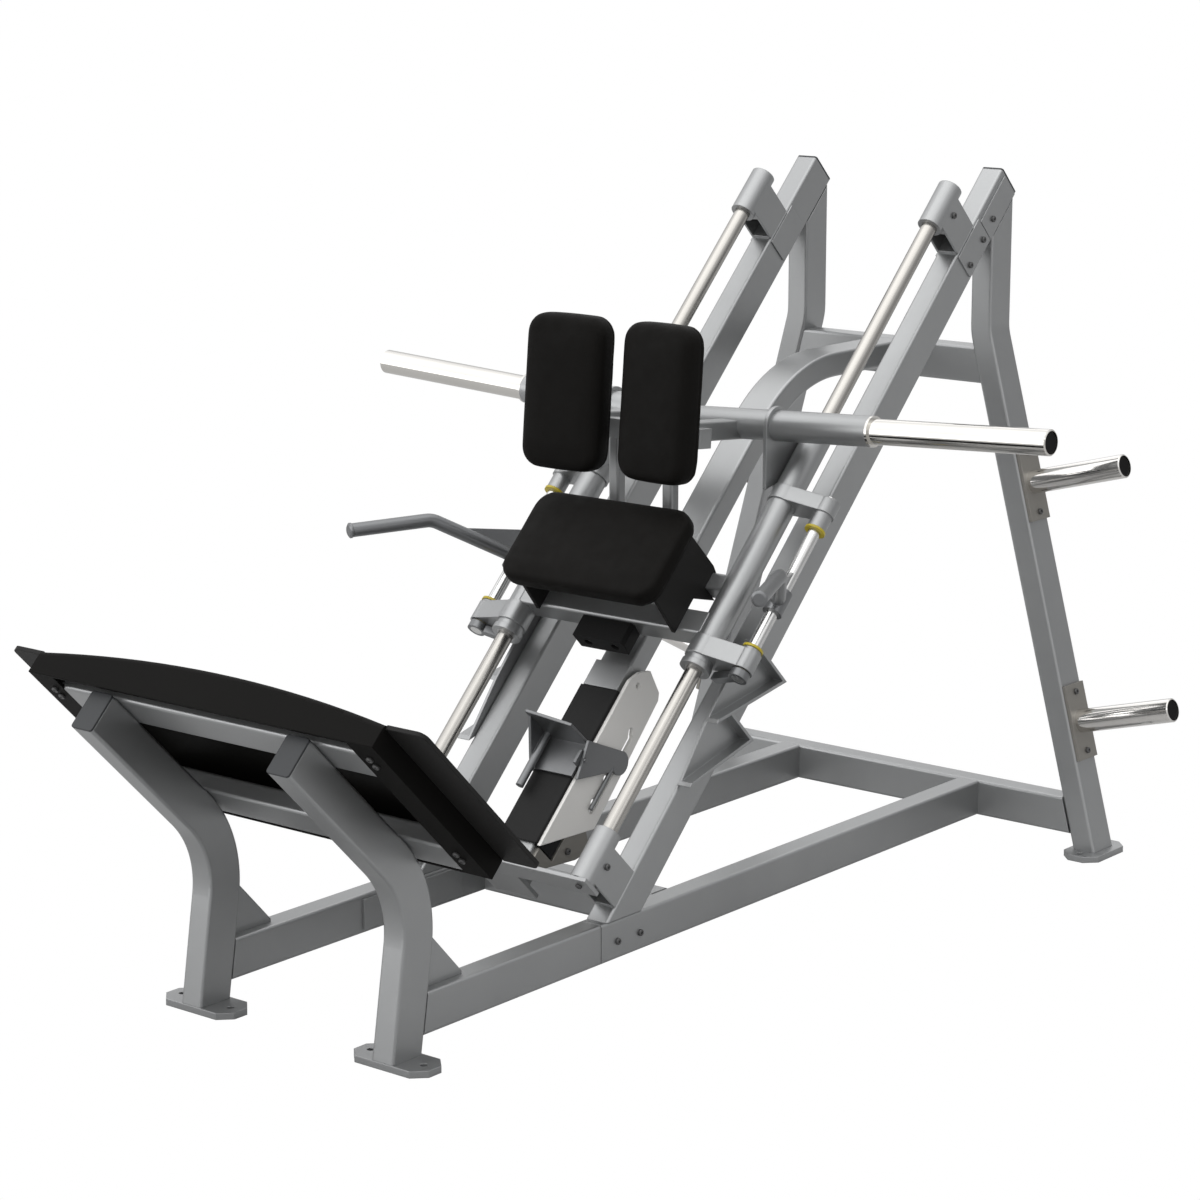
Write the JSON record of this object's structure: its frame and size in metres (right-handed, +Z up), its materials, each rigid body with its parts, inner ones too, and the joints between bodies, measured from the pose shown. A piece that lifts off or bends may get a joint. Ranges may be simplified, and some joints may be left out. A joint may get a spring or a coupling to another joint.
{
  "type": "leg press machine",
  "caption": "Inclined leg press: padded seat carriage with weight horns on two guide rods facing a fixed foot platform, with side lock levers and a notched stop.",
  "frame": {"origin": "on the floor, under the middle of the machine's outline", "axes": "+X to the right seen from the foot platform's end, +Y from the foot platform's end to the rear uprights, +Z up"},
  "size_m": [1.6402, 2.2032, 1.4207],
  "materials": {
    "frame_paint": "satin grey powder coat",
    "chrome": "polished",
    "black_paint": "satin black powder coat",
    "black_plastic": "matt",
    "warm_paint": "satin warm grey powder coat",
    "cushion": "grained vinyl",
    "rubber": "matt",
    "yellow_plastic": "satin",
    "steel": "satin"
  },
  "bodies": {
    "frame": {"front_leg_left": "frame_paint", "front_leg_right": "frame_paint", "base_front_sections": "frame_paint", "base_rail_left": "frame_paint", "base_rail_right": "frame_paint", "front_cross_tube": "frame_paint", "upright_left": "frame_paint", "upright_right": "frame_paint", "rear_crossbeam": "frame_paint", "upper_cross_member": "frame_paint", "floor_plates": "frame_paint", "incline_rail_left": "frame_paint", "incline_rail_right": "frame_paint", "tube_end_caps": "black_plastic", "joint_plates": "frame_paint", "spine_tube": "frame_paint", "guide_rod_left": "chrome", "guide_rod_right": "chrome", "rod_sockets": "frame_paint", "rod_holders": "frame_paint", "anchor_plates": "frame_paint", "catch_bracket_left": "frame_paint", "catch_bracket_right": "frame_paint", "storage_horns": "chrome", "storage_horn_plugs": "black_plastic", "storage_brackets": "warm_paint", "foot_platform": "black_paint", "platform_wings": "black_paint", "platform_cross_tubes": "frame_paint", "column_cover": "black_plastic", "column_collar": "black_plastic", "ratchet_plate": "frame_paint", "stop_anchor": "warm_paint", "frame_bolts": "steel"},
    "carriage": {"sleeve_left": "frame_paint", "sleeve_right": "frame_paint", "rod_bushes": "steel", "horn_cross_tube": "frame_paint", "weight_horns": "chrome", "weight_horn_plugs": "black_plastic", "carriage_gussets": "frame_paint", "back_pad_left": "cushion", "back_pad_right": "cushion", "back_frame": "frame_paint", "back_struts": "frame_paint", "seat_pad": "cushion", "seat_cross_tubes": "frame_paint", "seat_brackets": "black_paint", "bumper": "rubber", "lock_blocks": "black_paint", "lock_bushes": "yellow_plastic", "carriage_bolts": "steel"},
    "lock_left": {"lock_shaft_left": "steel", "lock_handle_left": "black_paint", "lock_pawl_left": "black_paint"},
    "lock_right": {"lock_shaft_right": "steel", "lock_handle_right": "black_paint", "lock_pawl_right": "black_paint"},
    "stop_slider": {"stop_slider": "frame_paint"},
    "stop_lever": {"stop_lever": "frame_paint"}
  },
  "joints": [
    {"name": "carriage_slide", "type": "slide", "parent": "frame", "child": "carriage", "axis": [0, 0.7071, 0.7071], "range_m": [0, 0.5]},
    {"name": "lock_right_turn", "type": "hinge", "parent": "carriage", "child": "lock_right", "pos_m": [0.325, 0.1665, 0.66901], "axis": [0, -0.7071, -0.7071], "range_deg": [0, 30]},
    {"name": "lock_left_turn", "type": "hinge", "parent": "carriage", "child": "lock_left", "pos_m": [-0.325, 0.1665, 0.66901], "axis": [0, 0.7071, 0.7071], "range_deg": [0, 30]},
    {"name": "stop_slide", "type": "slide", "parent": "frame", "child": "stop_slider", "axis": [0, 0.7071, 0.7071], "range_m": [-0.11, 0.055]},
    {"name": "stop_lever_turn", "type": "hinge", "parent": "stop_slider", "child": "stop_lever", "pos_m": [0.06, -0.09937, 0.36212], "axis": [1, 0, 0], "range_deg": [0, 8]}
  ]
}
